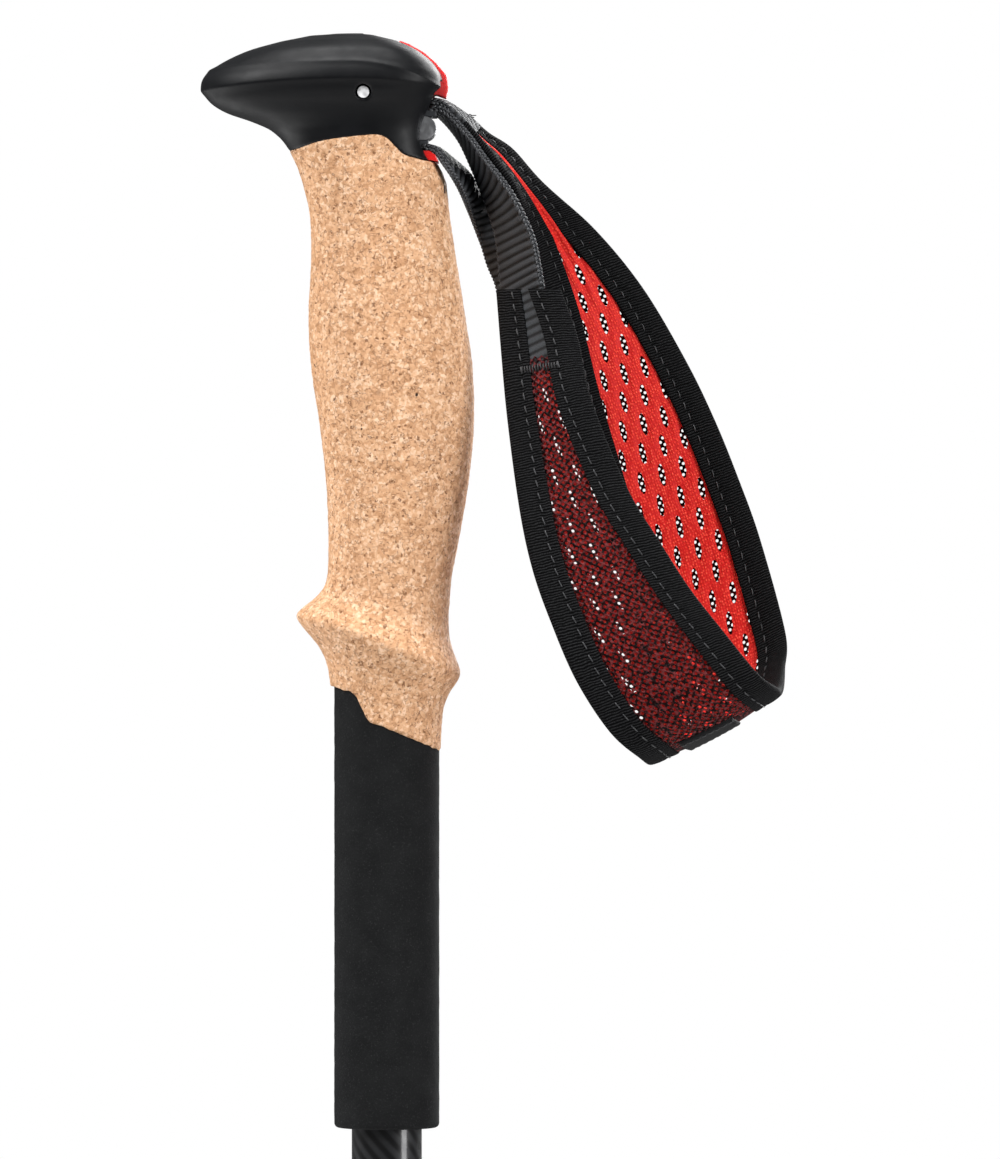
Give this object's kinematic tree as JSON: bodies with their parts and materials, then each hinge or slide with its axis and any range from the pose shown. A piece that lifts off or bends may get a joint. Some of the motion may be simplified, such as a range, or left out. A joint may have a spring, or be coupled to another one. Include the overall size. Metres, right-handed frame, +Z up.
{
  "type": "trekking pole",
  "caption": "Collapsible three-section trekking pole with a beaked head, cork and foam grip, adjustable padded wrist strap, lever clamps, basket and carbide tip.",
  "frame": {"origin": "on the shaft axis in the middle of the cork grip, where the hand holds the pole", "axes": "+Z up the shaft to the head, -X towards the head's beak, +X towards the wrist strap"},
  "size_m": [0.1499, 0.0583, 0.66],
  "materials": {
    "soft_black": "matte",
    "hard_black": "satin",
    "lever": "satin",
    "red_plastic": "gloss",
    "steel": "satin",
    "jaw": "satin",
    "carbide": "satin",
    "webbing": "matte",
    "band_mesh": "matte",
    "band_lining": "matte",
    "binding": "matte",
    "cork": "matte",
    "foam": "matte",
    "tube": "satin"
  },
  "bodies": {
    "handle": {"head_cover": "soft_black", "head_core": "hard_black", "head_pin": "steel", "cam_spring": "steel", "jaw_block": "jaw", "slot_lip": "red_plastic", "webbing_inner": "webbing", "cork_grip": "cork", "foam_sleeve": "foam", "upper_tube": "tube", "upper_collar": "hard_black", "upper_clamp_screw": "steel", "upper_hinge_barrel": "steel"},
    "cam_lever": {"strap_cam": "red_plastic"},
    "wrist_strap": {"webbing_upper": "webbing", "webbing_lower": "webbing", "band_pad": "band_mesh", "band_binding": "binding", "band_tab": "binding"},
    "upper_clamp_lever": {"upper_lever": "lever"},
    "middle_section": {"middle_tube": "tube", "middle_bush": "hard_black", "lower_collar": "hard_black", "lower_clamp_screw": "steel", "lower_hinge_barrel": "steel"},
    "lower_clamp_lever": {"lower_lever": "lever"},
    "lower_section": {"lower_tube": "tube", "lower_bush": "hard_black", "tip_holder": "hard_black", "tip_ferrule": "steel", "carbide_tip": "carbide", "basket": "hard_black"}
  },
  "joints": [
    {"name": "cam_lift", "type": "hinge", "parent": "handle", "child": "cam_lever", "pos_m": [-0.0058, 0, 0.0843], "axis": [0, -1, 0], "range_deg": [0, 12], "stiffness_Nm_per_rad": 0.05, "springref_deg": -22.92},
    {"name": "strap_swing", "type": "hinge", "parent": "handle", "child": "wrist_strap", "pos_m": [0.0097, 0, 0.0755], "axis": [0, -1, 0], "range_deg": [-5, 60]},
    {"name": "upper_lever_swing", "type": "hinge", "parent": "handle", "child": "upper_clamp_lever", "pos_m": [0.016, 0.0092, -0.4], "axis": [0, 0, -1], "range_deg": [0, 110]},
    {"name": "middle_slide", "type": "slide", "parent": "handle", "child": "middle_section", "axis": [0, 0, -1], "range_m": [0, 0.32]},
    {"name": "lower_lever_swing", "type": "hinge", "parent": "middle_section", "child": "lower_clamp_lever", "pos_m": [0.016, 0.0092, -0.44], "axis": [0, 0, -1], "range_deg": [0, 110]},
    {"name": "lower_slide", "type": "slide", "parent": "middle_section", "child": "lower_section", "axis": [0, 0, -1], "range_m": [0, 0.32]}
  ]
}
